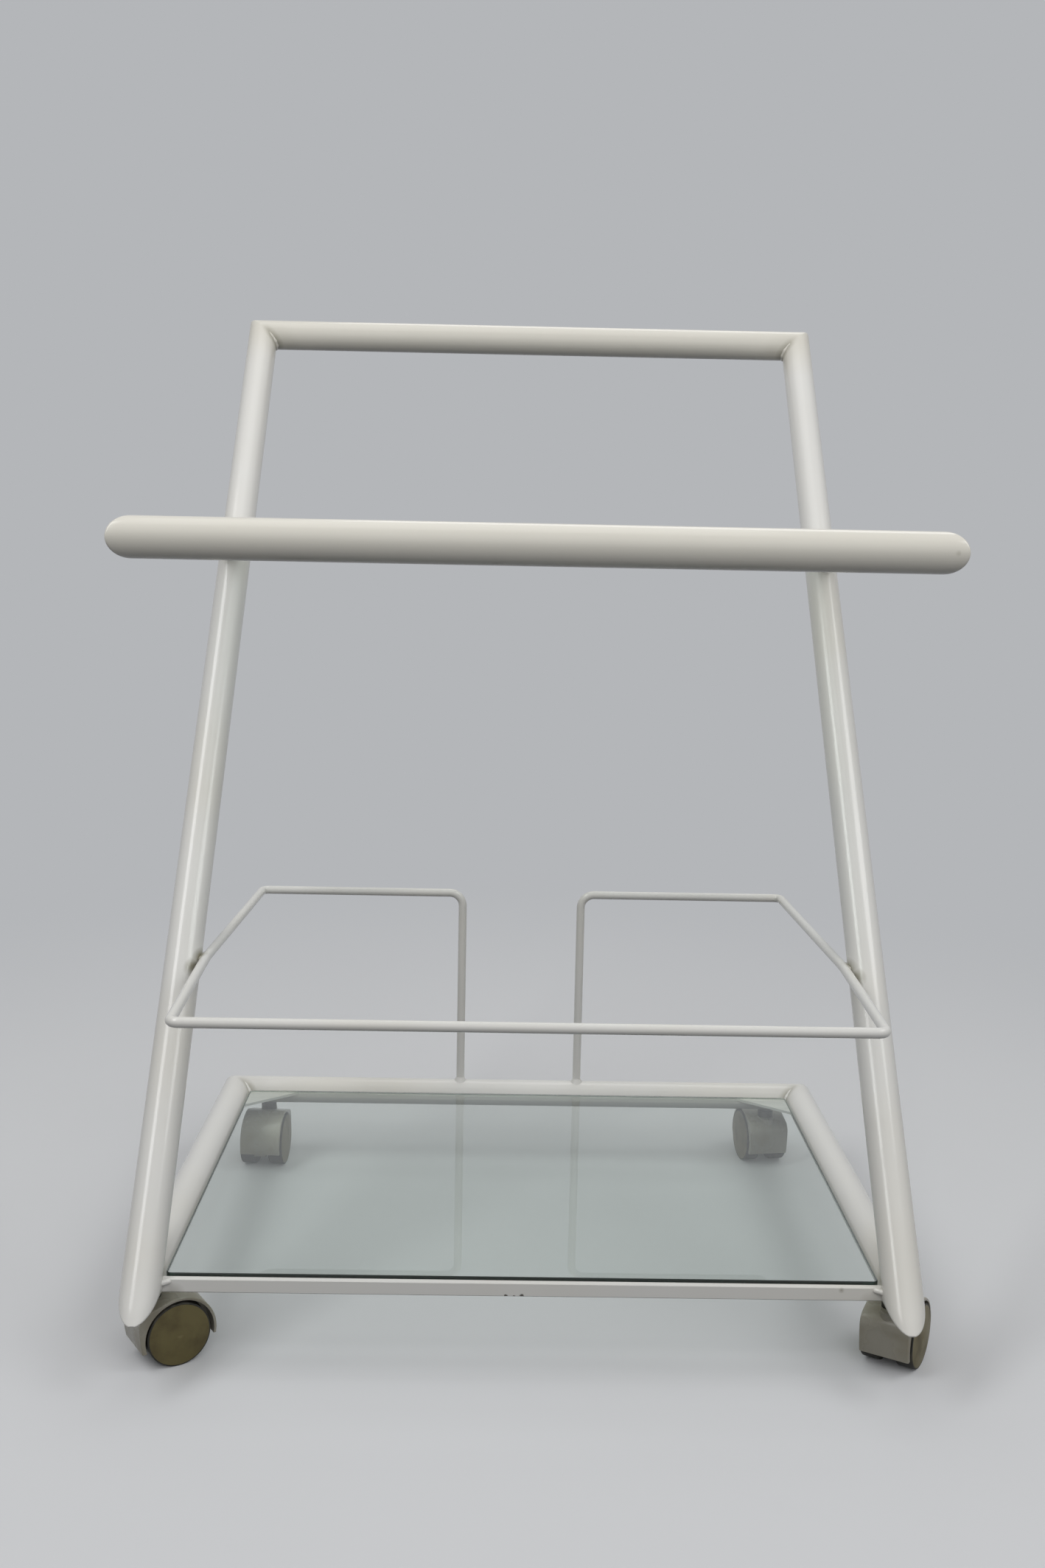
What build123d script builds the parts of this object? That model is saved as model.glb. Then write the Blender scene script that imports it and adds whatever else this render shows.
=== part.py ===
"""Serving trolley: mitred round-tube frame, two glass shelves, a bent wire gallery and four hooded casters.

Millimetres, +Z up, +X to the right and the front at -Y. The origin is on the floor, midway between the
side tubes and under the corners where the leaning uprights meet the base.
"""
import os
from math import cos, radians, sin, tan

from build123d import *

os.makedirs("parts", exist_ok=True)

# Round steel tube of the whole frame.
tube_d = 30.0
tube_wall = 1.5
tip_trim = 1.5

# Outline of the frame, measured between tube axes.
frame_half = 285.0
base_depth = 430.0
handle_back = 630.0
handle_rise = 770.0
shelf_rise = 553.0
shelf_front = 10.0

# Clearances.
running = 0.05
bearing_gap = 0.25
side_play = 0.4

# Glass panes, the corner plates under them and the flat strips that close the open sides.
pane_t = 6.0
pane_seat = 0.5
pane_gap = 0.6
pane_corner = 4.0
pane_edge = 0.6
plate_t = 2.5
plate_leg_x = 49.0
plate_leg_y = 38.0
strip_t = 5.0
strip_h = 11.0
strip_up = 4.0
strip_edge = 0.8
ledge_t = 2.5
ledge_reach = 3.5
strip_weld_r = 2.2
strip_weld_out = 4.0
strip_weld_bite = 3.0
strip_weld_reach = 5.0
base_strip_y = 10.5

# Gallery rail, one bent wire.
wire_d = 8.0
gallery_rise = 209.0
gallery_front = -10.0
gallery_front_inset = 26.0
gallery_rear_inset = 27.0
gate_half = 59.0
gate_bend = 13.0
corner_bend = 7.0
weld_bend = 90.0
rail_weld_r = 2.5
rail_weld_half = 7.0
rail_weld_bite = 1.0
foot_flare = 2.5
foot_rise = 3.5

# Caster wheels and the caps in their faces.
wheel_r = 25.0
wheel_width = 14.5
wheel_edge = 0.8
tread_edge = 2.0
rim_wall = 1.15
cap_sink = 2.0
cap_dome = 1.4
axle_r = 3.0

# Caster hoods, from the stem's axis, the axle and the floor.
trail = 15.0
wheel_well = 1.5
well_shift = 1.0
hood_wall = 2.2
hood_short = 1.3
hood_edge = 1.2
hood_nose = 31.0
hood_slope = 18.0
shoulder_r = 10.0
lip_wall = 3.7
lip_z = 15.0
skirt_angle = -10.0
boss_r = 8.2
boss_edge = 0.6
boss_drop = 3.2
tongue_r = 6.5
tongue_reach = 13.5
web_half = 6.0
web_drop = 9.0
web_root = 0.2

# Caster stems, their sleeves, and where they enter the tubes.
shank_r = 4.0
shank_foot = 30.0
collar_r = 7.5
collar_gap = 0.4
collar_room = 4.3
collar_edge = 0.8
stem_r = 5.0
stem_head_r = 6.2
stem_head_t = 2.0
stem_head_edge = 0.8
socket_r = 7.0
socket_lip = 0.4
socket_rise = 7.0
front_stem_y = 32.0
rear_stem_inset = 32.0
caster_heading = {"front_left": 32.0, "front_right": 59.0, "rear_left": -94.0, "rear_right": 99.0}

tube_r = tube_d / 2
tube_core = tube_r - tube_wall
wire_r = wire_d / 2
well_x = trail + well_shift
well_z = wheel_r - well_shift
hood_in_r = wheel_r + wheel_well + well_shift
hood_out_r = hood_in_r + hood_wall
hood_top = well_z + hood_out_r
stem_seat = hood_top - boss_drop
caster_height = hood_top + collar_room
base_z = caster_height + tube_r
handle_z = base_z + handle_rise
shelf_z = base_z + shelf_rise
gallery_z = base_z + gallery_rise
shelf_back = handle_back * shelf_rise / handle_rise
cut_reach = handle_back + handle_rise

x_axis = Vector(1, 0, 0)
y_axis = Vector(0, 1, 0)
lean = Vector(0, handle_back, handle_rise).normalized()
floor_up = (Align.CENTER, Align.CENTER, Align.MIN)
middle = (Align.CENTER, Align.CENTER, Align.CENTER)


def rod(start, end, radius):
    run = end - start
    return Plane(start, z_dir=run) * Cylinder(radius, run.length, align=floor_up)


def long_rod(point, direction, radius):
    reach = direction.normalized() * cut_reach
    return rod(point - reach, point + reach, radius)


def mitred_tube(start, end, start_joins=None, end_joins=None):
    """Hollow tube along an axis, its ends cut halfway to the tubes that leave its end points."""
    run = (end - start).normalized()
    over = run * (4 * tube_r)
    first = start - over if start_joins else start
    last = end + over if end_joins else end
    tube = rod(first, last, tube_r) - rod(first, last, tube_core)
    for corner, inward, joins in ((start, run, start_joins), (end, run * -1, end_joins)):
        if joins:
            tube = split(tube, bisect_by=Plane(corner, z_dir=inward - joins), keep=Keep.TOP)
    return tube


def bent_wire(points, radii, radius):
    """Round wire along straight runs with a bend of the given centreline radius at each inner point."""
    edges = []
    at = points[0]
    for before, corner, after, bend in zip(points, points[1:], points[2:], radii):
        back = (before - corner).normalized()
        ahead = (after - corner).normalized()
        half = radians(back.get_angle(ahead)) / 2
        leg = bend * cos(half) / sin(half)
        centre = corner + (back + ahead).normalized() * (bend / sin(half))
        enter = corner + back * leg
        leave = corner + ahead * leg
        top = centre + (corner - centre).normalized() * bend
        edges.append(Line(at, enter))
        edges.append(ThreePointArc(enter, top, leave))
        at = leave
    edges.append(Line(at, points[-1]))
    path = Wire(edges)
    return sweep(Plane(points[0], z_dir=points[1] - points[0]) * Circle(radius), path=path)


def bead(start, end, radius):
    return rod(start, end, radius) + Pos(start) * Sphere(radius) + Pos(end) * Sphere(radius)


def save(shape, node):
    solids = shape.solids()
    assert len(solids) == 1 and solids[0].is_valid, node
    export_step(solids[0], f"parts/{node}.step")


def corner_plate(side, corner, inward_y):
    """Triangular plate in the corner of two tubes, let in against both at glass height."""
    reach_x = plate_leg_x + tube_r + tube_r * plate_leg_x / plate_leg_y
    reach_y = plate_leg_y + tube_r + tube_r * plate_leg_y / plate_leg_x
    outline = make_face(
        Polyline(
            (corner.X, corner.Y),
            (corner.X - side * reach_x, corner.Y),
            (corner.X, corner.Y + inward_y * reach_y),
            close=True,
        )
    )
    plate = Pos(0, 0, corner.Z + pane_seat - plate_t) * extrude(outline, plate_t)
    return plate - long_rod(corner, x_axis, tube_r) - long_rod(corner, y_axis, tube_r)


def pane(front, back, under):
    """Loose glass pane with rounded corners and arrised edges, clear of the side tubes."""
    half = frame_half - tube_r - pane_gap
    sheet = Pos(0, (front + back) / 2, under) * Box(2 * half, back - front, pane_t, align=floor_up)
    sheet = fillet(sheet.edges().filter_by(Axis.Z), pane_corner)
    top_and_bottom = sheet.faces().filter_by(Axis.Z)
    return chamfer(top_and_bottom.edges(), pane_edge)


def strip(y, seat_z, inward_y, cutters):
    """Flat bar that closes an open side, with a ledge under the pane's edge, welded to the tubes."""
    top = seat_z + strip_up
    bar = Box(2 * frame_half, strip_t, strip_h, align=(Align.CENTER, Align.CENTER, Align.MAX))
    bar = chamfer(bar.edges().filter_by(Axis.X), strip_edge)
    bar = Pos(0, y, top) * bar
    ledge_width = strip_t / 2 + ledge_reach
    ledge = Box(2 * frame_half, ledge_width, ledge_t, align=(Align.CENTER, Align.CENTER, Align.MAX))
    bar = bar + Pos(0, y + inward_y * ledge_width / 2, seat_z) * ledge
    face = y - inward_y * strip_t / 2
    level = top - strip_weld_r
    for side in (-1, 1):
        inner = Vector(side * (frame_half - tube_r - strip_weld_out), face, level)
        outer_y = face - inward_y * strip_weld_reach
        outer = Vector(side * (frame_half - tube_r + strip_weld_bite), outer_y, level)
        bar = bar + bead(inner, outer, strip_weld_r)
    for cutter in cutters:
        bar = bar - cutter
    return bar


def blunt_tip(tube, corner, along, across):
    """Grinds the sharp outer tip off an acute mitre."""
    outward = (along + across).normalized() * -1
    half = radians(along.get_angle(across)) / 2
    tip = corner + outward * (tube_r / sin(half) - tip_trim)
    return split(tube, bisect_by=Plane(tip, z_dir=outward), keep=Keep.BOTTOM)


# The two sides: leaning upright, base tube and shelf tube of each.
front_stems = {}
rear_stems = {}
for name, side in (("left", -1), ("right", 1)):
    foot = Vector(side * frame_half, 0, base_z)
    heel = Vector(side * frame_half, base_depth, base_z)
    head = Vector(side * frame_half, handle_back, handle_z)
    shelf_corner = Vector(side * frame_half, shelf_front, shelf_z)
    shelf_end = Vector(side * frame_half, shelf_back, shelf_z)
    inward = x_axis * -side
    front_stems[name] = Vector(side * frame_half, front_stem_y, 0)
    rear_stems[name] = Vector(side * (frame_half - rear_stem_inset), base_depth, 0)
    upright = mitred_tube(foot, head, y_axis, inward)
    save(blunt_tip(upright, foot, lean, y_axis), f"{name}_upright")
    socket_hole = rod(front_stems[name], foot + y_axis * front_stem_y, socket_r)
    base_tube = mitred_tube(foot, heel, lean, inward) - socket_hole
    save(blunt_tip(base_tube, foot, lean, y_axis), f"{name}_base_tube")
    shelf_tube = mitred_tube(shelf_corner, shelf_end, inward)
    save(shelf_tube - long_rod(foot, lean, tube_r), f"{name}_shelf_tube")
    save(corner_plate(side, heel, -1), f"{name}_base_plate")
    save(corner_plate(side, shelf_corner, 1), f"{name}_shelf_plate")


def cross_tube(y, z, joins):
    left_end = Vector(-frame_half, y, z)
    right_end = Vector(frame_half, y, z)
    return mitred_tube(left_end, right_end, joins, joins)


save(cross_tube(handle_back, handle_z, lean * -1), "handle_bar")
save(cross_tube(shelf_front, shelf_z, y_axis), "shelf_front_bar")
rear_tube = cross_tube(base_depth, base_z, y_axis * -1)
for stem in rear_stems.values():
    rear_tube = rear_tube - rod(stem, stem + Vector(0, 0, base_z), socket_r)
save(rear_tube, "rear_base_tube")

upright_cores = [long_rod(Vector(side * frame_half, 0, base_z), lean, tube_r) for side in (-1, 1)]
base_cores = [long_rod(Vector(side * frame_half, 0, base_z), y_axis, tube_r) for side in (-1, 1)]
shelf_cores = [long_rod(Vector(side * frame_half, 0, shelf_z), y_axis, tube_r) for side in (-1, 1)]
base_seat = base_z + pane_seat
shelf_seat = shelf_z + pane_seat
shelf_strip_y = shelf_back + (pane_seat + strip_up - strip_h / 2) * handle_back / handle_rise
save(strip(base_strip_y, base_seat, 1, upright_cores + base_cores), "base_front_strip")
save(strip(shelf_strip_y, shelf_seat, -1, upright_cores + shelf_cores), "shelf_rear_strip")

tube_clear = tube_r + pane_gap
strip_clear = strip_t / 2 + pane_gap
save(pane(base_strip_y + strip_clear, base_depth - tube_clear, base_seat), "lower_glass")
save(pane(shelf_front + tube_clear, shelf_strip_y - strip_clear, shelf_seat), "upper_glass")

# Gallery rail: up from the rear tube, out to the side, past the upright and across the front.
weld_y = gallery_rise * handle_back / handle_rise
weld_half = frame_half - tube_r - wire_r
half_path = [
    Vector(gate_half, base_depth, base_z + tube_core),
    Vector(gate_half, base_depth, gallery_z),
    Vector(frame_half - gallery_rear_inset, base_depth, gallery_z),
    Vector(weld_half, weld_y, gallery_z),
    Vector(frame_half - gallery_front_inset, gallery_front, gallery_z),
]
mirrored = [Vector(-p.X, p.Y, p.Z) for p in half_path]
bends = [gate_bend, corner_bend, weld_bend, corner_bend]
rail = bent_wire(half_path + mirrored[::-1], bends + bends[::-1], wire_r)
for side in (-1, 1):
    foot_on_tube = Vector(side * gate_half, base_depth, base_z + tube_core)
    flared = Cone(wire_r + foot_flare, wire_r, tube_wall + foot_rise, align=floor_up)
    rail = rail + Pos(foot_on_tube) * flared
    beside = Vector(side * (weld_half + wire_r - rail_weld_bite), weld_y, gallery_z)
    rail = rail + bead(beside - y_axis * rail_weld_half, beside + y_axis * rail_weld_half, rail_weld_r)
rail = rail - long_rod(Vector(0, base_depth, base_z), x_axis, tube_r)
for core in upright_cores:
    rail = rail - core
save(rail, "gallery_rail")

# Hooded twin-wheel caster, drawn with its stem on the Z axis and its axle behind it at +X.
socket_foot = caster_height - socket_lip
socket_top = base_z + socket_rise
collar_top = socket_foot - bearing_gap
wheel_in = web_half + side_play
wheel_out = wheel_in + wheel_width
cap_r = wheel_r - rim_wall
cap_back = wheel_out - cap_sink
axle_half = cap_back - side_play
hood_half = wheel_out - hood_short
hood_front = trail - hood_nose
lip_x = well_x - (hood_in_r**2 - (well_z - lip_z) ** 2) ** 0.5 - lip_wall
well_width = 2 * wheel_out


def on_cover(degrees):
    return (well_x + hood_out_r * cos(radians(degrees)), well_z + hood_out_r * sin(radians(degrees)))


def hood_shape():
    """Curved cover over both wheels, falling to a nose under the stem, with a web and a stem boss."""
    fall = radians(hood_slope)
    crest_angle = 90 + hood_slope
    skirt_end = on_cover(skirt_angle)
    crest = on_cover(crest_angle)
    bend = shoulder_r * tan((radians(90) - fall) / 2)
    shoulder_z = crest[1] - (crest[0] - hood_front) * tan(fall)
    enter = (hood_front + bend * cos(fall), shoulder_z + bend * sin(fall))
    leave = (hood_front, shoulder_z - bend)
    outline = [
        ThreePointArc(skirt_end, on_cover((skirt_angle + crest_angle) / 2), crest),
        Line(crest, enter),
        TangentArc(enter, leave, tangent=(-cos(fall), -sin(fall))),
        TangentArc(leave, (lip_x, lip_z), tangent=(0, -1)),
        Line((lip_x, lip_z), skirt_end),
    ]
    cover = extrude(Plane.XZ * make_face(outline), hood_half, both=True)
    under = cover.faces().sort_by(Axis.Z)[0].edges()
    rims = cover.edges().filter_by(lambda e: abs(abs(e.center().Y) - hood_half) < running)
    cover = fillet([e for e in rims if not any(e.is_same(u) for u in under)], hood_edge)
    tongue = Pos(tongue_r - tongue_reach, 0) * Circle(tongue_r)
    boss = make_hull([Circle(boss_r).edge(), tongue.edge()])
    boss = Pos(0, 0, shank_foot) * extrude(boss, stem_seat - shank_foot)
    boss = fillet(boss.faces().sort_by(Axis.Z)[-1].edges(), boss_edge)
    cover = cover - Pos(0, 0, stem_seat) * Cylinder(collar_r + collar_gap, hood_top, align=floor_up) + boss
    along_well = Pos(well_x, 0, well_z) * Rot(90, 0, 0)
    web = along_well * Cylinder(hood_in_r + web_root, 2 * web_half, align=middle)
    below = Box(2 * hood_out_r, well_width, hood_out_r, align=(Align.CENTER, Align.CENTER, Align.MAX))
    web = web - Pos(well_x, 0, wheel_r - web_drop) * below
    hood = cover - along_well * Cylinder(hood_in_r, well_width, align=middle) + web
    hood = hood - Pos(trail, 0, wheel_r) * Rot(90, 0, 0) * Cylinder(axle_r, well_width, align=middle)
    return hood - Pos(0, 0, shank_foot) * Cylinder(shank_r, hood_top, align=floor_up)


def stem_shape():
    """Shank in the hood, collar under the tube, and a pin whose spun head keeps it in the sleeve."""
    head_foot = socket_top + bearing_gap
    head_top = head_foot + stem_head_t
    outline = Polyline(
        (0, shank_foot),
        (shank_r, shank_foot),
        (shank_r, stem_seat),
        (collar_r, stem_seat),
        (collar_r, collar_top - collar_edge),
        (collar_r - collar_edge, collar_top),
        (stem_r, collar_top),
        (stem_r, head_foot),
        (stem_head_r, head_foot),
        (stem_head_r, head_top - stem_head_edge),
        (stem_head_r - stem_head_edge, head_top),
        (0, head_top),
        close=True,
    )
    return revolve(Plane.XZ * make_face(outline), Axis.Z)


def socket_shape():
    height = socket_top - socket_foot
    sleeve = Cylinder(socket_r, height, align=floor_up)
    bore = Cylinder(stem_r + running, height, align=floor_up)
    return Pos(0, 0, socket_foot) * (sleeve - bore)


def axle_shape():
    return Pos(trail, 0, wheel_r) * Rot(90, 0, 0) * Cylinder(axle_r, 2 * axle_half, align=middle)


def wheel_shape(side):
    """Plain wheel turned about the axle, with a round tread and a recess for its cap."""
    bore = axle_r + running
    rim = cap_r + running
    shoulder = wheel_r - wheel_edge
    outline = [
        Polyline(
            (wheel_r - tread_edge, wheel_in),
            (bore, wheel_in),
            (bore, cap_back),
            (rim, cap_back),
            (rim, wheel_out),
            (shoulder, wheel_out),
        ),
        RadiusArc((shoulder, wheel_out), (wheel_r, wheel_out - wheel_edge), wheel_edge),
        Line((wheel_r, wheel_out - wheel_edge), (wheel_r, wheel_in + tread_edge)),
        RadiusArc((wheel_r, wheel_in + tread_edge), (wheel_r - tread_edge, wheel_in), tread_edge),
    ]
    wheel = revolve(Plane.XY * make_face(outline), Axis.Y)
    return Pos(trail, 0, wheel_r) * (wheel if side > 0 else mirror(wheel, Plane.XZ))


def cap_shape(side):
    """Disc with a shallow domed face, pressed into the wheel's recess."""
    height = cap_sink + cap_dome
    dome_r = (cap_r**2 + cap_dome**2) / (2 * cap_dome)
    disc = Cylinder(cap_r, height, align=floor_up) & Pos(0, 0, height - dome_r) * Sphere(dome_r)
    turn = Rot(-90, 0, 0) if side > 0 else Rot(90, 0, 0)
    return Pos(trail, side * cap_back, wheel_r) * turn * disc


caster_shapes = {
    "socket": socket_shape(),
    "stem": stem_shape(),
    "hood": hood_shape(),
    "axle": axle_shape(),
    "wheel_a": wheel_shape(1),
    "wheel_b": wheel_shape(-1),
    "cap_a": cap_shape(1),
    "cap_b": cap_shape(-1),
}
for end, stems in (("front", front_stems), ("rear", rear_stems)):
    for name, stem in stems.items():
        place = Location((stem.X, stem.Y, 0), (0, 0, caster_heading[f"{end}_{name}"]))
        for piece, shape in caster_shapes.items():
            save(place * shape, f"{end}_{name}_{piece}")
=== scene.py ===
from math import cos, pi, radians, sin

import bmesh
import bpy
from mathutils import Matrix, Vector


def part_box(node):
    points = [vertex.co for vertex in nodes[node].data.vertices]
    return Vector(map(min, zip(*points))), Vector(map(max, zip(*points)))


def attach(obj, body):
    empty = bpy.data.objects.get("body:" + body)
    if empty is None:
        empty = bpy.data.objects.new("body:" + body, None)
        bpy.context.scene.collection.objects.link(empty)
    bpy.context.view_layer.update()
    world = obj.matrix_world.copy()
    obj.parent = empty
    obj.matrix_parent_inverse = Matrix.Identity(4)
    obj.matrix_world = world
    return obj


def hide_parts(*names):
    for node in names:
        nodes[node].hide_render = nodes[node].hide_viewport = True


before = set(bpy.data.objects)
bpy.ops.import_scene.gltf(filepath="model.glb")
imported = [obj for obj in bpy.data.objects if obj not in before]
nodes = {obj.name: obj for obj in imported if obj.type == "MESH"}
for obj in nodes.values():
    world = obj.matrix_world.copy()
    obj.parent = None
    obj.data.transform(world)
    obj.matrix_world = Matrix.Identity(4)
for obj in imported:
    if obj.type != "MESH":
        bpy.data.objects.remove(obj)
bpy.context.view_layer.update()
noiseSpan = (0.3, 0.7)  # where most of a noise texture's values lie
print("frame loaded:", len(nodes), "nodes")


def toLinear(hexColour):
    channels = [int(hexColour[i:i + 2], 16) / 255 for i in (1, 3, 5)]
    return (*[c / 12.92 if c <= 0.04045 else ((c + 0.055) / 1.055) ** 2.4 for c in channels], 1)


def perMetre(millimetres):
    return 1000 / millimetres  # pattern scale from its real size


def metres(point):
    return Vector(point) / 1000


def addNode(tree, kind, inputs=None, **settings):
    node = tree.nodes.new(kind)
    for name, value in settings.items():
        setattr(node, name, value)
    for name, value in (inputs or {}).items():
        if isinstance(value, bpy.types.NodeSocket):
            tree.links.new(value, node.inputs[name])
        else:
            node.inputs[name].default_value = value
    return node


def newMaterial(name):
    material = bpy.data.materials.new(name)
    material.use_nodes = True
    tree = material.node_tree
    tree.nodes.clear()
    place = addNode(tree, "ShaderNodeTexCoord").outputs["Object"]
    return material, tree, place


def newPiece(data, name, material, body):
    piece = bpy.data.objects.new(name, data)
    bpy.context.scene.collection.objects.link(piece)
    data.materials.append(material)
    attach(piece, body)
    return piece


def smoothMesh(bm, name):
    for face in bm.faces:
        face.smooth = True
    mesh = bpy.data.meshes.new(name)
    bm.to_mesh(mesh)
    bm.free()
    return mesh


def dress(material, *names):
    for name in names:
        nodes[name].data.materials.clear()
        nodes[name].data.materials.append(material)


# Adds round spots to a mask, fading to their rims; core is how much of the radius stays full.
def spotMask(tree, place, spots, core, mask=0.0):
    for centre, radius in spots:
        away = addNode(tree, "ShaderNodeVectorMath", {0: place, 1: metres(centre)}, operation="DISTANCE")
        spot = addNode(tree, "ShaderNodeMapRange", {"Value": away.outputs["Value"], "From Min": core * radius / 1000,
                                                    "From Max": radius / 1000, "To Min": 1.0, "To Max": 0.0})
        mask = addNode(tree, "ShaderNodeMath", {0: spot.outputs["Result"], 1: mask}, operation="MAXIMUM").outputs[0]
    return mask


# Sizes in millimetres. Chips, where the paint has flaked off, and stains are each a centre and a radius. So are the
# grime and painted wire shadow where the wire is welded on, the same on both sides, and the grips, the two bars that
# hands have yellowed.
lacquerLook = {
    "colour": "#DCDBD7", "aged": "#D5D1C5", "grimeAndShade": "#77725A", "steel": "#56514A", "speck": "#8C8674",
    "agedPatch": 160, "agedFrom": (0.4, 0.75), "agedMost": 0.45,
    "smudge": 30, "grimeAndShadeShare": (0.5, 1.0), "roughness": (0.14, 0.22), "ior": 1.5,
    "peel": 3.0, "peelDepth": 0.3, "peelStrength": 0.015,
    "speckSpacing": 60, "speckSize": 0.5, "speckRim": 1.6, "speckStrength": 0.7,
    "chips": [((-13, 8, 66.8), 1.9), ((-7, 8, 66.6), 1.3), ((-1, 8, 67.2), 2.0)], "chipCore": 0.6, "ragged": 1.6,
    "stains": [((291, -3, 626), 3), ((240, 8, 75), 2.5), ((262, 0, 66), 12), ((-262, 0, 66), 12)],
    "weldGrimeAndShadow": [((270.5, 168, 283), 8), ((274, 155, 278), 8)], "weldStretch": 0.5, "weldCore": 0.2,
    "grips": [((0, 10, 626), 60), ((0, 630, 843), 60)],
}


# Stoved enamel lacquer sprayed on steel: even cream film, soft orange peel in the highlights, yellowed in places.
def stovedLacquer(look):
    material, tree, place = newMaterial("stovedEnamelLacquer")
    patches = addNode(tree, "ShaderNodeTexNoise", {"Vector": place, "Scale": perMetre(look["agedPatch"]),
                                                   "Detail": 2.0, "Roughness": 0.5})
    aged = addNode(tree, "ShaderNodeMapRange", {"Value": patches.outputs["Fac"], "From Min": look["agedFrom"][0],
                                                "From Max": look["agedFrom"][1], "To Max": look["agedMost"]},
                   interpolation_type="SMOOTHSTEP")
    # Without its x a place lies on a bar's section, so a spot there runs along the whole bar.
    section = addNode(tree, "ShaderNodeVectorMath", {0: place, 1: (0, 1, 1)}, operation="MULTIPLY").outputs["Vector"]
    handled = spotMask(tree, section, look["grips"], 0.0)
    yellowed = addNode(tree, "ShaderNodeMath", {0: aged.outputs["Result"], 1: handled}, operation="MAXIMUM")
    film = addNode(tree, "ShaderNodeMix", {0: yellowed.outputs[0], 6: toLinear(look["colour"]),
                                           7: toLinear(look["aged"])}, data_type="RGBA")
    smudge = addNode(tree, "ShaderNodeTexNoise", {"Vector": place, "Scale": perMetre(look["smudge"]), "Detail": 4.0})
    # Painted shade with some grime in the inner corners of the mitres, darkest at each seam.
    inSeam = addNode(tree, "ShaderNodeAttribute", attribute_name="seamGrimeAndShade").outputs["Fac"]
    stainsAndShade = spotMask(tree, place, look["stains"], 0.0, inSeam)
    # Grime and a painted shadow of the wire on the uprights beside its welds, the same on both sides.
    bothSides = addNode(tree, "ShaderNodeVectorMath", {0: place}, operation="ABSOLUTE").outputs["Vector"]
    drawnOut = addNode(tree, "ShaderNodeVectorMath", {0: bothSides, 1: (1, look["weldStretch"], 1)},
                       operation="MULTIPLY").outputs["Vector"]
    welds = [((x, y * look["weldStretch"], z), radius) for (x, y, z), radius in look["weldGrimeAndShadow"]]
    stainsAndShade = spotMask(tree, drawnOut, welds, look["weldCore"], stainsAndShade)
    patchy = addNode(tree, "ShaderNodeMapRange", {"Value": smudge.outputs["Fac"], "From Min": noiseSpan[0],
                                                  "From Max": noiseSpan[1], "To Min": look["grimeAndShadeShare"][0],
                                                  "To Max": look["grimeAndShadeShare"][1]})
    # Stains and grime, along with the painted seam shade and the painted wire shadow, all take the same dark olive
    # colour.
    dirtAndShade = addNode(tree, "ShaderNodeMath", {0: stainsAndShade, 1: patchy.outputs["Result"]}, operation="MULTIPLY")
    dirtiedAndShaded = addNode(tree, "ShaderNodeMix", {0: dirtAndShade.outputs[0], 6: film.outputs[2], 7: toLinear(look["grimeAndShade"])},
                    data_type="RGBA")
    cells = addNode(tree, "ShaderNodeTexVoronoi", {"Vector": place, "Scale": perMetre(look["speckSpacing"])})
    speckShare = look["speckSize"] / look["speckSpacing"]
    inSpeck = addNode(tree, "ShaderNodeMapRange", {"Value": cells.outputs["Distance"], "From Min": speckShare,
                                                   "From Max": look["speckRim"] * speckShare,
                                                   "To Min": look["speckStrength"], "To Max": 0.0})
    specked = addNode(tree, "ShaderNodeMix", {0: inSpeck.outputs["Result"], 6: dirtiedAndShaded.outputs[2],
                                              7: toLinear(look["speck"])}, data_type="RGBA")
    ragged = addNode(tree, "ShaderNodeTexNoise", {"Vector": place, "Scale": perMetre(look["ragged"]), "Detail": 2.0})
    torn = addNode(tree, "ShaderNodeVectorMath", {0: ragged.outputs["Color"], 1: metres([look["ragged"]] * 3),
                                                  2: place}, operation="MULTIPLY_ADD").outputs["Vector"]
    shifted = [([c + look["ragged"] / 2 for c in centre], radius) for centre, radius in look["chips"]]
    bare = spotMask(tree, torn, shifted, look["chipCore"])
    colour = addNode(tree, "ShaderNodeMix", {0: bare, 6: specked.outputs[2], 7: toLinear(look["steel"])},
                     data_type="RGBA")
    gloss = addNode(tree, "ShaderNodeMapRange", {"Value": smudge.outputs["Fac"], "From Min": noiseSpan[0],
                                                 "From Max": noiseSpan[1], "To Min": look["roughness"][0],
                                                 "To Max": look["roughness"][1]})
    peel = addNode(tree, "ShaderNodeTexNoise", {"Vector": place, "Scale": perMetre(look["peel"]), "Detail": 1.0})
    bump = addNode(tree, "ShaderNodeBump", {"Height": peel.outputs["Fac"], "Strength": look["peelStrength"],
                                            "Distance": look["peelDepth"] / 1000})
    shader = addNode(tree, "ShaderNodeBsdfPrincipled", {"Base Color": colour.outputs[2], "IOR": look["ior"],
                                                        "Roughness": gloss.outputs["Result"],
                                                        "Normal": bump.outputs["Normal"]})
    addNode(tree, "ShaderNodeOutputMaterial", {"Surface": shader.outputs["BSDF"]})
    return material


# Levelness is the upward part of a face's normal: up to the first value it is edge, from the second on it is pane.
glassLook = {"face": "#F1F7F3", "edge": "#2F5546", "lampTint": "#F5F7F6", "haze": 60, "hazeFrom": (0.45, 0.8),
             "ior": 1.52, "roughness": (0.0, 0.035), "levelness": (0.9, 0.98), "edgeRoughness": 0.35}


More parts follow.
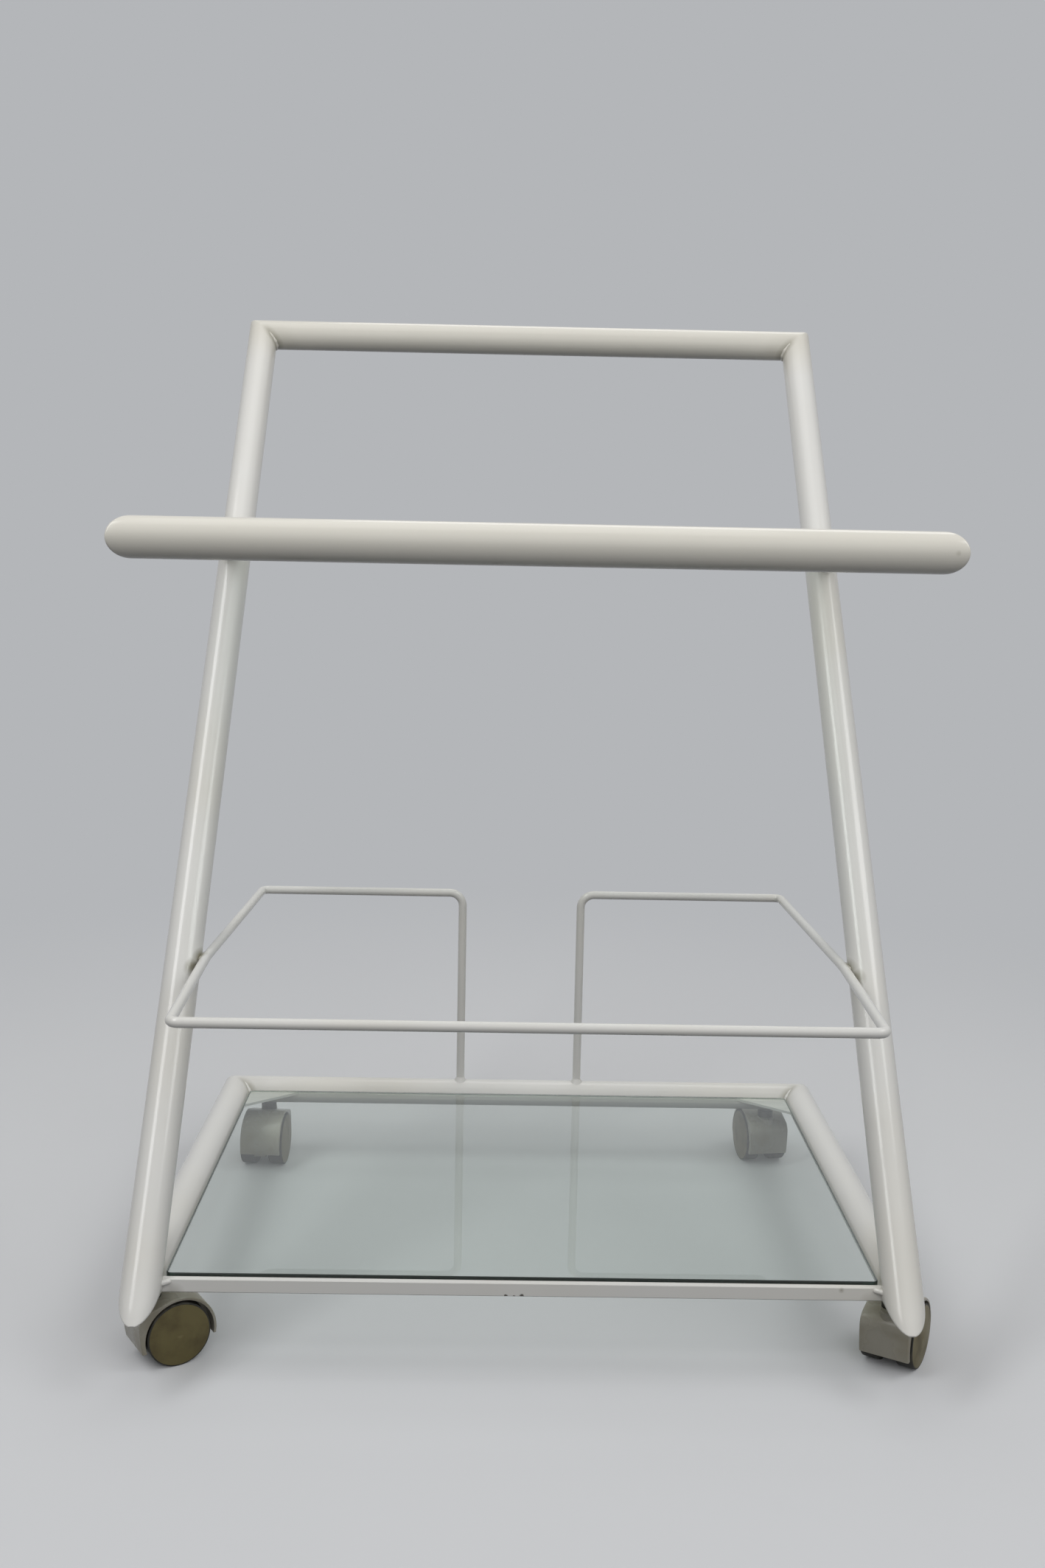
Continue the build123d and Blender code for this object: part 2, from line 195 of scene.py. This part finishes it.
# Clear float glass with ground edges: almost no colour through the face, bottle green seen through the edge.
def floatGlass(look):
    material, tree, place = newMaterial("floatGlassGroundEdge")
    facing = addNode(tree, "ShaderNodeNewGeometry").outputs["Normal"]
    up = addNode(tree, "ShaderNodeSeparateXYZ", {0: facing}).outputs["Z"]
    flat = addNode(tree, "ShaderNodeMath", {0: up}, operation="ABSOLUTE").outputs[0]
    edge = addNode(tree, "ShaderNodeMapRange", {"Value": flat, "From Min": look["levelness"][0],
                                                "From Max": look["levelness"][1],
                                                "To Min": 1.0, "To Max": 0.0}).outputs["Result"]
    colour = addNode(tree, "ShaderNodeMix", {0: edge, 6: toLinear(look["face"]), 7: toLinear(look["edge"])},
                     data_type="RGBA")
    haze = addNode(tree, "ShaderNodeTexNoise", {"Vector": place, "Scale": perMetre(look["haze"]), "Detail": 5.0})
    wiped = addNode(tree, "ShaderNodeMapRange", {"Value": haze.outputs["Fac"], "From Min": look["hazeFrom"][0],
                                                 "From Max": look["hazeFrom"][1], "To Min": look["roughness"][0],
                                                 "To Max": look["roughness"][1]})
    ground = addNode(tree, "ShaderNodeMix", {0: edge, 2: wiped.outputs["Result"], 3: look["edgeRoughness"]})
    clear = addNode(tree, "ShaderNodeBsdfPrincipled", {"Base Color": colour.outputs[2], "IOR": look["ior"],
                                                       "Transmission Weight": 1.0, "Roughness": ground.outputs[0]})
    # Lamps and light off the floor pass straight through, so the panes throw no dark shadow.
    through = addNode(tree, "ShaderNodeBsdfTransparent", {"Color": toLinear(look["lampTint"])})
    ray = addNode(tree, "ShaderNodeLightPath").outputs
    bounced = addNode(tree, "ShaderNodeMixShader", {0: ray["Is Diffuse Ray"], 1: clear.outputs["BSDF"],
                                                    2: through.outputs["BSDF"]})
    surface = addNode(tree, "ShaderNodeMixShader", {0: ray["Is Shadow Ray"], 1: bounced.outputs["Shader"],
                                                    2: through.outputs["BSDF"]})
    addNode(tree, "ShaderNodeOutputMaterial", {"Surface": surface.outputs["Shader"]})
    return material


# Hoods in glossy ABS, caps in satin nylon, treads in hard rubber greyed by floor dust, sleeves in black nylon.
plasticLook = {
    "mouldedGlossAbs": {"colour": "#A39F92", "worn": "#928C7B", "patch": 26, "grain": 2.0, "bump": 0.08,
                        "specular": 0.5, "roughness": (0.24, 0.4)},
    "mouldedSatinNylon": {"colour": "#746B49", "worn": "#5B523A", "patch": 20, "grain": 0.9, "bump": 0.12,
                          "specular": 0.25, "roughness": (0.4, 0.55)},
    "mouldedHardRubber": {"colour": "#2A2925", "worn": "#55524A", "patch": 9, "grain": 0.8, "bump": 0.25,
                          "specular": 0.4, "roughness": (0.55, 0.8)},
    "mouldedBlackNylon": {"colour": "#1E1E1D", "worn": "#3B3A36", "patch": 4, "grain": 0.6, "bump": 0.1,
                          "specular": 0.5, "roughness": (0.42, 0.6)},
}
mouldLook = {"ior": 1.53, "wornFrom": (0.4, 0.75), "grainDepth": 0.2}


# Moulded skin: colour drifts towards a worn tone and gloss falls with it. The grain is coarser than the real one, so
# that it shows.
def mouldedPlastic(name, look, mould):
    material, tree, place = newMaterial(name)
    patches = addNode(tree, "ShaderNodeTexNoise", {"Vector": place, "Scale": perMetre(look["patch"]), "Detail": 5.0})
    worn = addNode(tree, "ShaderNodeMapRange", {"Value": patches.outputs["Fac"], "From Min": mould["wornFrom"][0],
                                                "From Max": mould["wornFrom"][1]},
                   interpolation_type="SMOOTHSTEP").outputs["Result"]
    colour = addNode(tree, "ShaderNodeMix", {0: worn, 6: toLinear(look["colour"]), 7: toLinear(look["worn"])},
                     data_type="RGBA")
    gloss = addNode(tree, "ShaderNodeMapRange", {"Value": worn, "To Min": look["roughness"][0],
                                                 "To Max": look["roughness"][1]})
    grain = addNode(tree, "ShaderNodeTexNoise", {"Vector": place, "Scale": perMetre(look["grain"]), "Detail": 2.0})
    bump = addNode(tree, "ShaderNodeBump", {"Height": grain.outputs["Fac"], "Strength": look["bump"],
                                            "Distance": mould["grainDepth"] / 1000})
    shader = addNode(tree, "ShaderNodeBsdfPrincipled", {"Base Color": colour.outputs[2], "IOR": mould["ior"],
                                                        "Specular IOR Level": look["specular"],
                                                        "Roughness": gloss.outputs["Result"],
                                                        "Normal": bump.outputs["Normal"]})
    addNode(tree, "ShaderNodeOutputMaterial", {"Surface": shader.outputs["BSDF"]})
    return material


# Stems in steel blacked in hot oxide, axles in bright zinc. A smaller value in drawn draws the grain out further.
metalLook = {
    "blackOxideSteel": {"colour": "#2B2A28", "scuff": "#4A4844", "roughness": (0.35, 0.55), "grain": 1.2,
                        "drawn": (0.15, 0.15, 1.0)},
    "turnedZincSteel": {"colour": "#A9A9A6", "scuff": "#8C8B86", "roughness": (0.25, 0.42), "grain": 0.8,
                        "drawn": (0.15, 0.15, 1.0)},
}


# Turned steel: grain drawn round the upright axis, coarse enough to show, and scuffed where it rubs.
def turnedMetal(name, look):
    material, tree, place = newMaterial(name)
    drawn = addNode(tree, "ShaderNodeMapping", {"Vector": place, "Scale": look["drawn"]})
    grain = addNode(tree, "ShaderNodeTexNoise", {"Vector": drawn.outputs["Vector"],
                                                 "Scale": perMetre(look["grain"]), "Detail": 3.0})
    colour = addNode(tree, "ShaderNodeMix", {0: grain.outputs["Fac"], 6: toLinear(look["colour"]),
                                             7: toLinear(look["scuff"])}, data_type="RGBA")
    gloss = addNode(tree, "ShaderNodeMapRange", {"Value": grain.outputs["Fac"], "From Min": noiseSpan[0],
                                                 "From Max": noiseSpan[1], "To Min": look["roughness"][0],
                                                 "To Max": look["roughness"][1]})
    shader = addNode(tree, "ShaderNodeBsdfPrincipled", {"Base Color": colour.outputs[2], "Metallic": 1.0,
                                                        "Roughness": gloss.outputs["Result"]})
    addNode(tree, "ShaderNodeOutputMaterial", {"Surface": shader.outputs["BSDF"]})
    return material


lacquer = stovedLacquer(lacquerLook)
glass = floatGlass(glassLook)
plastics = {name: mouldedPlastic(name, look, mouldLook) for name, look in plasticLook.items()}
metals = {name: turnedMetal(name, look) for name, look in metalLook.items()}

dress(lacquer, "left_base_plate", "right_base_plate", "left_shelf_plate", "right_shelf_plate",
      "base_front_strip", "shelf_rear_strip", "gallery_rail")
dress(glass, "lower_glass", "upper_glass")
for corner in ("front_left", "front_right", "rear_left", "rear_right"):
    dress(plastics["mouldedBlackNylon"], f"{corner}_socket")
    dress(metals["blackOxideSteel"], f"{corner}_stem")
    dress(metals["turnedZincSteel"], f"{corner}_axle")
    dress(plastics["mouldedGlossAbs"], f"{corner}_hood")
    dress(plastics["mouldedHardRubber"], f"{corner}_wheel_a", f"{corner}_wheel_b")
    dress(plastics["mouldedSatinNylon"], f"{corner}_cap_a", f"{corner}_cap_b")
print("finishes dressed:", 2 + len(plastics) + len(metals), "materials")

handleLow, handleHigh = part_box("handle_bar")
rearLow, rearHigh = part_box("rear_base_tube")
barLow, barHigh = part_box("shelf_front_bar")
# In metres. Spare is left past a corner for the mitre to cut off, and support loops hold the shading flat behind it.
tubeLook = {"radius": (handleHigh.z - handleLow.z) / 2, "sides": 64, "seamRound": 0.0018, "seamSteps": 4,
            "spare": 0.08, "support": (0.006, 0.02), "tipTrim": 0.0015, "tipRound": 0.0016, "tipSteps": 4,
            "grimeAndShadeReach": 0.007}
cutGap, mergeGap, seamGap = 1e-7, 2e-6, 1e-5  # how near counts as on a cut, as one point and as on a mitre

xAxis, yAxis = Vector((1, 0, 0)), Vector((0, 1, 0))
half = handleHigh.x - tubeLook["radius"]
handleMid, rearMid, barMid = (handleLow + handleHigh) / 2, (rearLow + rearHigh) / 2, (barLow + barHigh) / 2
lean = Vector((0, handleMid.y, handleMid.z - rearMid.z)).normalized()
shelfBack = (barMid.z - rearMid.z) * lean.y / lean.z  # where the uprights' axes pass the upper shelf


def onSide(side, middle):
    return Vector((side * half, middle.y, middle.z))


# One straight tube on its axis, its open ends cut by the mitre planes of the tubes it meets.
def addTube(bm, look, start, end, across, startJoins=None, endJoins=None):
    run = (end - start).normalized()
    turned = Matrix((across, run.cross(across), run)).transposed().to_4x4()
    spareStart = look["spare"] if startJoins else 0
    spareEnd = look["spare"] if endJoins else 0
    length = (end - start).length + spareStart + spareEnd
    middle = (start + end) / 2 + run * (spareEnd - spareStart) / 2
    made = bmesh.ops.create_cone(bm, cap_ends=False, segments=look["sides"], radius1=look["radius"],
                                 radius2=look["radius"], depth=length,
                                 matrix=Matrix.Translation(middle) @ turned)
    parts = set(made["verts"])
    for corner, inward, joins in ((start, run, startJoins), (end, -run, endJoins)):
        if not joins:
            continue
        normal = (inward - joins).normalized()
        for point, clears in [(corner, True)] + [(corner + normal * d, False) for d in look["support"]]:
            geom = list(parts) + [e for e in bm.edges if e.verts[0] in parts and e.verts[1] in parts]
            geom += [f for f in bm.faces if all(v in parts for v in f.verts)]
            cut = bmesh.ops.bisect_plane(bm, geom=geom, dist=cutGap, plane_co=point, plane_no=normal,
                                         clear_inner=clears)
            parts = {g for g in cut["geom"] + cut["geom_cut"] if isinstance(g, bmesh.types.BMVert) and g.is_valid}


# Joins the mitred ends and rolls a small ground-off weld along each seam.
def roundSeams(bm, look, seams):
    bmesh.ops.remove_doubles(bm, verts=bm.verts, dist=mergeGap)
    edges = []
    for corner, first, second in seams:
        normal = (first - second).normalized()
        for edge in bm.edges:
            near = all((v.co - corner).length < look["spare"] for v in edge.verts)
            if near and all(abs((v.co - corner).dot(normal)) < seamGap for v in edge.verts):
                edges.append(edge)
    bmesh.ops.bevel(bm, geom=edges, offset=look["seamRound"], offset_type="OFFSET", segments=look["seamSteps"],
                    profile=0.5, affect="EDGES", material=-1, clamp_overlap=True)


# Marks how far grime and painted shade reach into the inner side of each seam, for the lacquer to darken.
def markGrimeAndShade(bm, look, seams):
    layer = bm.verts.layers.float.new("seamGrimeAndShade")
    for corner, first, second in seams:
        normal, inner = (first - second).normalized(), (first + second).normalized()
        for vert in bm.verts:
            offset = vert.co - corner
            if offset.length < look["spare"]:
                close = max(0, 1 - abs(offset.dot(normal)) / look["grimeAndShadeReach"])
                vert[layer] = max(vert[layer], close * max(0, offset.normalized().dot(inner)))


# Grinds the sharp tips of the two feet flat and rounds them over.
def bluntTips(bm, look):
    outward = -(lean + yAxis).normalized()
    reach = look["radius"] / sin(lean.angle(yAxis) / 2) - look["tipTrim"]
    tip = Vector((0, 0, rearMid.z)) + outward * reach
    cut = bmesh.ops.bisect_plane(bm, geom=bm.verts[:] + bm.edges[:] + bm.faces[:], dist=cutGap, plane_co=tip,
                                 plane_no=outward, clear_outer=True)
    rim = [g for g in cut["geom_cut"] if isinstance(g, bmesh.types.BMEdge)]
    bmesh.ops.edgeloop_fill(bm, edges=rim)
    bmesh.ops.bevel(bm, geom=rim, offset=look["tipRound"], offset_type="OFFSET", segments=look["tipSteps"],
                    profile=0.5, affect="EDGES", material=-1, clamp_overlap=True)


def loopPiece(bm, look, seams, name):
    markGrimeAndShade(bm, look, seams)
    bmesh.ops.recalc_face_normals(bm, faces=bm.faces)
    return newPiece(smoothMesh(bm, name), name, lacquer, "frame")


# The Z of the frame: both uprights and base tubes, the handle bar and the rear tube.
def frameLoop(look):
    bm = bmesh.new()
    seams = []
    for side in (-1, 1):
        foot = Vector((side * half, 0, rearMid.z))
        heel, head = onSide(side, rearMid), onSide(side, handleMid)
        inward = xAxis * -side
        addTube(bm, look, foot, head, xAxis, yAxis, inward)
        addTube(bm, look, foot, heel, xAxis, lean, inward)
        seams += [(foot, lean, yAxis), (heel, -yAxis, inward), (head, -lean, inward)]
    addTube(bm, look, onSide(-1, handleMid), onSide(1, handleMid), lean, -lean, -lean)
    addTube(bm, look, onSide(-1, rearMid), onSide(1, rearMid), yAxis, -yAxis, -yAxis)
    roundSeams(bm, look, seams)
    bluntTips(bm, look)
    piece = loopPiece(bm, look, seams, "weldedFrameLoop")
    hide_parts("left_upright", "right_upright", "left_base_tube", "right_base_tube",
                "rear_base_tube", "handle_bar")
    return seams


# The upper shelf's front bar and its two side tubes, which run into the uprights.
def shelfLoop(look):
    bm = bmesh.new()
    seams = []
    for side in (-1, 1):
        corner = onSide(side, barMid)
        inward = xAxis * -side
        addTube(bm, look, corner, Vector((side * half, shelfBack, barMid.z)), xAxis, inward)
        seams.append((corner, yAxis, inward))
    addTube(bm, look, onSide(-1, barMid), onSide(1, barMid), yAxis, yAxis, yAxis)
    roundSeams(bm, look, seams)
    piece = loopPiece(bm, look, seams, "weldedShelfLoop")
    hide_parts("left_shelf_tube", "right_shelf_tube", "shelf_front_bar")
    return seams


weldLook = {"bead": 0.0022, "rings": 4, "span": radians(65), "steps": 28, "thinnest": 0.05,
            "lumps": 0.12, "ripple": 5}


# Weld beads under the paint: along the inner half of each mitre, and right round each shelf tube's cope.
def weldBeads(look, seams):
    curve = bpy.data.curves.new("weldBeads", "CURVE")
    curve.dimensions = "3D"
    curve.bevel_depth = look["bead"]
    curve.bevel_resolution = look["rings"]
    radius = tubeLook["radius"]
    runs = []
    for corner, first, second in seams:
        across, inner = first.cross(second).normalized(), (first + second).normalized()
        deep = radius / sin(first.angle(second) / 2)
        angles = [look["span"] * (2 * i / look["steps"] - 1) for i in range(look["steps"] + 1)]
        points = [corner + across * radius * sin(a) + inner * deep * cos(a) for a in angles]
        runs.append((points, [max(look["thinnest"], cos(a * pi / 2 / look["span"])) for a in angles], False))
    for side in (-1, 1):
        end = Vector((side * half, shelfBack, barMid.z))
        angles = [2 * pi * i / (2 * look["steps"]) for i in range(2 * look["steps"])]
        points = []
        for a in angles:
            rise = radius * cos(a)
            back = rise * (lean.y - 1 if rise > 0 else lean.y + 1) / lean.z
            points.append(end + Vector((radius * sin(a), back, rise)))
        runs.append((points, [1.0] * len(points), True))
    for points, radii, closed in runs:
        spline = curve.splines.new("POLY")
        spline.points.add(len(points) - 1)
        spline.use_cyclic_u = closed
        spline.use_smooth = True
        for i, (point, place, size) in enumerate(zip(spline.points, points, radii)):
            point.co = (*place, 1)
            point.radius = size * (1 + look["lumps"] * sin(i * look["ripple"]))
    return newPiece(curve, "weldBeads", lacquer, "frame")


seams = frameLoop(tubeLook) + shelfLoop(tubeLook)
weldBeads(weldLook, seams)
print("tubes welded:", len(seams), "mitres")

stageLook = {"floor": "#CFD0D2", "bounce": "#55565A", "backdrop": "#B4B6B9", "radius": 14.0, "fade": (0.6, 1.8),
             "sides": 96, "roughness": 0.5, "ambient": 0.24}


# 1 for rays that the camera follows, straight or by way of gloss and glass, and 0 for the light that lands on things.
def cameraSees(tree):
    ray = addNode(tree, "ShaderNodeLightPath").outputs
    direct = addNode(tree, "ShaderNodeMath", {0: ray["Is Camera Ray"], 1: ray["Is Glossy Ray"]}, operation="MAXIMUM")
    seen = addNode(tree, "ShaderNodeMath", {0: direct.outputs[0], 1: ray["Is Transmission Ray"]}, operation="MAXIMUM")
    return seen.outputs[0]


# Seamless paper: pale where it is seen, darker for the light it throws back up, fading into the backdrop.
def studioFloor(look):
    material, tree, place = newMaterial("seamlessPaper")
    away = addNode(tree, "ShaderNodeVectorMath", {0: place}, operation="LENGTH").outputs["Value"]
    far = addNode(tree, "ShaderNodeMapRange", {"Value": away, "From Min": look["fade"][0],
                                               "From Max": look["fade"][1]},
                  interpolation_type="SMOOTHSTEP").outputs["Result"]
    seen = cameraSees(tree)
    colour = addNode(tree, "ShaderNodeMix", {0: seen, 6: toLinear(look["bounce"]), 7: toLinear(look["floor"])},
                     data_type="RGBA")
    paper = addNode(tree, "ShaderNodeBsdfDiffuse", {"Color": colour.outputs[2], "Roughness": look["roughness"]})
    horizon = addNode(tree, "ShaderNodeEmission", {"Color": toLinear(look["backdrop"]), "Strength": 1.0})
    fading = addNode(tree, "ShaderNodeMath", {0: far, 1: seen}, operation="MULTIPLY")
    surface = addNode(tree, "ShaderNodeMixShader", {0: fading.outputs[0], 1: paper.outputs["BSDF"],
                                                    2: horizon.outputs["Emission"]})
    addNode(tree, "ShaderNodeOutputMaterial", {"Surface": surface.outputs["Shader"]})
    bm = bmesh.new()
    bmesh.ops.create_circle(bm, cap_ends=True, segments=look["sides"], radius=look["radius"])
    floor = bpy.data.objects.new("floor", smoothMesh(bm, "floor"))
    floor.data.materials.append(material)
    bpy.context.scene.collection.objects.link(floor)


def studioWorld(look):
    world = bpy.data.worlds.new("studio")
    bpy.context.scene.world = world
    world.use_nodes = True
    tree = world.node_tree
    tree.nodes.clear()
    dim = addNode(tree, "ShaderNodeBackground", {"Color": (1, 1, 1, 1), "Strength": look["ambient"]})
    pale = addNode(tree, "ShaderNodeBackground", {"Color": toLinear(look["backdrop"]), "Strength": 1.0})
    mixed = addNode(tree, "ShaderNodeMixShader", {0: cameraSees(tree), 1: dim.outputs["Background"],
                                                  2: pale.outputs["Background"]})
    addNode(tree, "ShaderNodeOutputWorld", {"Surface": mixed.outputs["Shader"]})


# Metres, watts, and degrees of turn about the beam. The panes would mirror the two widest lamps, so those don't show.
lampLook = {
    "keySoftbox": {"at": (0.55, -1.75, 1.6), "aim": (0, 0.3, 0.55), "size": (2.4, 1.6), "watts": 21,
                   "mirrored": False},
    "overheadSoftbox": {"at": (-0.1, 0.3, 2.4), "aim": (0, 0.3, 0.3), "size": (1.6, 1.2), "watts": 4},
    "leftStrip": {"at": (-1.15, -0.4, 1.85), "aim": (0, 0.25, 0.5), "size": (1.6, 0.6), "turn": -50, "watts": 14},
    "rightSoftbox": {"at": (1.3, -0.25, 1.9), "aim": (0, 0.25, 0.5), "size": (1.0, 0.8), "watts": 9},
    "rearSoftbox": {"at": (0.3, 1.5, 2.1), "aim": (0, 0.3, 0.5), "size": (1.4, 0.8), "watts": 5},
    "rearFill": {"at": (-0.3, 2.3, 0.9), "aim": (0, 0.3, 0.45), "size": (2.4, 1.4), "watts": 14, "mirrored": False},
}


def studioLamps(lamps):
    for name, look in lamps.items():
        light = bpy.data.lights.new(name, "AREA")
        light.shape = "RECTANGLE"
        light.size, light.size_y = look["size"]
        light.energy = look["watts"]
        lamp = bpy.data.objects.new(name, light)
        lamp.location = look["at"]
        facing = (Vector(look["aim"]) - Vector(look["at"])).to_track_quat("-Z", "Y").to_matrix()
        lamp.rotation_euler = (facing @ Matrix.Rotation(radians(look.get("turn", 0)), 3, "Z")).to_euler()
        lamp.visible_glossy = lamp.visible_transmission = look.get("mirrored", True)
        bpy.context.scene.collection.objects.link(lamp)


# Fitted to the tube ends and corners in the photograph: metres, radians and millimetres of lens.
cameraLook = {"at": (-0.0250, -1.0984, 0.6243), "pitch": 0.1502, "yaw": 0.0152, "roll": 0.0200, "lens": 35.93}


def studioCamera(look):
    data = bpy.data.cameras.new("camera")
    data.lens = look["lens"]
    camera = bpy.data.objects.new("camera", data)
    turned = (Matrix.Rotation(-look["yaw"], 4, "Z") @ Matrix.Rotation(pi / 2 - look["pitch"], 4, "X")
              @ Matrix.Rotation(look["roll"], 4, "Z"))
    camera.matrix_world = Matrix.Translation(look["at"]) @ turned
    bpy.context.scene.collection.objects.link(camera)
    bpy.context.scene.camera = camera


studioFloor(stageLook)
studioWorld(stageLook)
studioLamps(lampLook)
studioCamera(cameraLook)
bpy.context.scene.view_settings.view_transform = "Standard"
print("studio set:", len(lampLook), "lamps")
